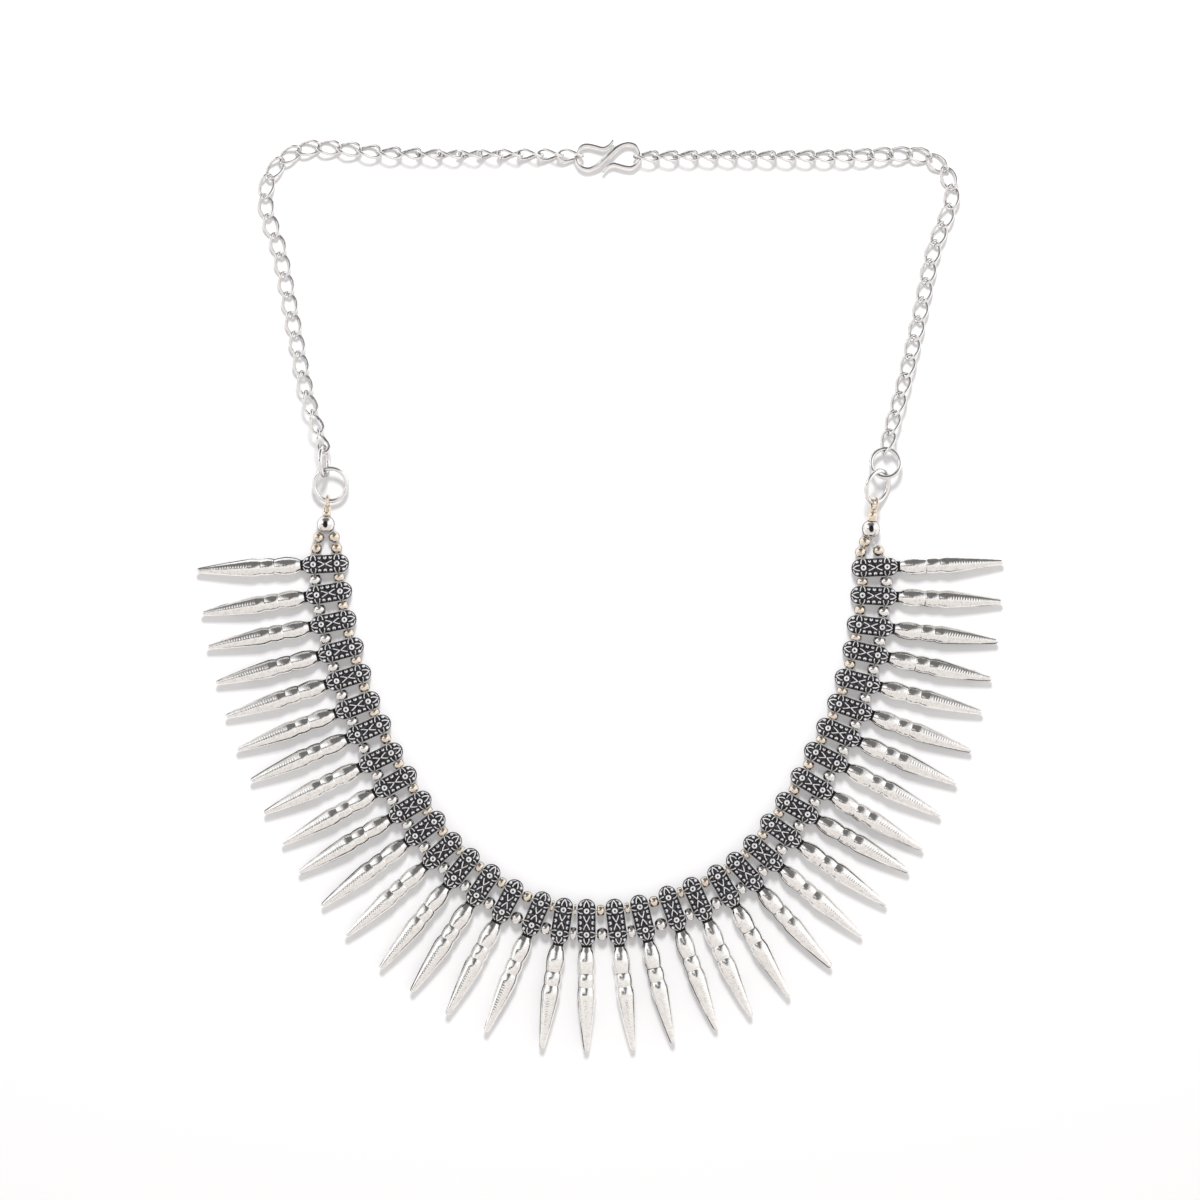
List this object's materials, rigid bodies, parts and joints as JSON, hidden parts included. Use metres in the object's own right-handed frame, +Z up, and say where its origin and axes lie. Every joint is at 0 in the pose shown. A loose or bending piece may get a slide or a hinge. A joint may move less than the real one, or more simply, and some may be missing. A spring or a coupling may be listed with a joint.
{
  "type": "tribal spike necklace",
  "caption": "Necklace of ornamented cast silver spikes on two beaded threads, with cable chain sides, jump rings and an S-hook clasp, lying open on a surface.",
  "frame": {"origin": "on the surface that the necklace lies on, under the middle of its bounding box", "axes": "+X to the right seen from above, +Y from the middle spikes up to the clasp, +Z up from the surface"},
  "size_m": [0.1776, 0.2009, 0.0074],
  "materials": {
    "silver": "antiqued silver plate, polished on the high parts and dark in the recesses",
    "warm_silver": "silver plate with a warm, slightly golden tone",
    "thread": "thin grey beading thread"
  },
  "bodies": {
    "root": {"spike_01": "silver", "spike_02": "silver", "spike_03": "silver", "spike_04": "silver", "spike_05": "silver", "spike_06": "silver", "spike_07": "silver", "spike_08": "silver", "spike_09": "silver", "spike_10": "silver", "spike_11": "silver", "spike_12": "silver", "spike_13": "silver", "spike_14": "silver", "spike_15": "silver", "spike_16": "silver", "spike_17": "silver", "spike_18": "silver", "spike_19": "silver", "spike_20": "silver", "spike_21": "silver", "spike_22": "silver", "spike_23": "silver", "spike_24": "silver", "spike_25": "silver", "spike_26": "silver", "spike_27": "silver", "spike_28": "silver", "spike_29": "silver", "spike_30": "silver", "spike_31": "silver", "spike_32": "silver", "spike_33": "silver", "spike_34": "silver", "spike_35": "silver", "spike_36": "silver", "inner_spacer_beads": "warm_silver", "outer_spacer_beads": "silver", "inner_thread": "thread", "outer_thread": "thread", "left_small_beads": "warm_silver", "right_small_beads": "warm_silver", "left_large_bead": "silver", "right_large_bead": "silver", "left_end_loop": "warm_silver", "right_end_loop": "warm_silver", "left_lower_ring": "silver", "right_lower_ring": "silver", "left_upper_ring": "silver", "right_upper_ring": "silver", "left_chain": "silver", "right_chain": "silver", "s_hook": "silver"}
  },
  "joints": []
}
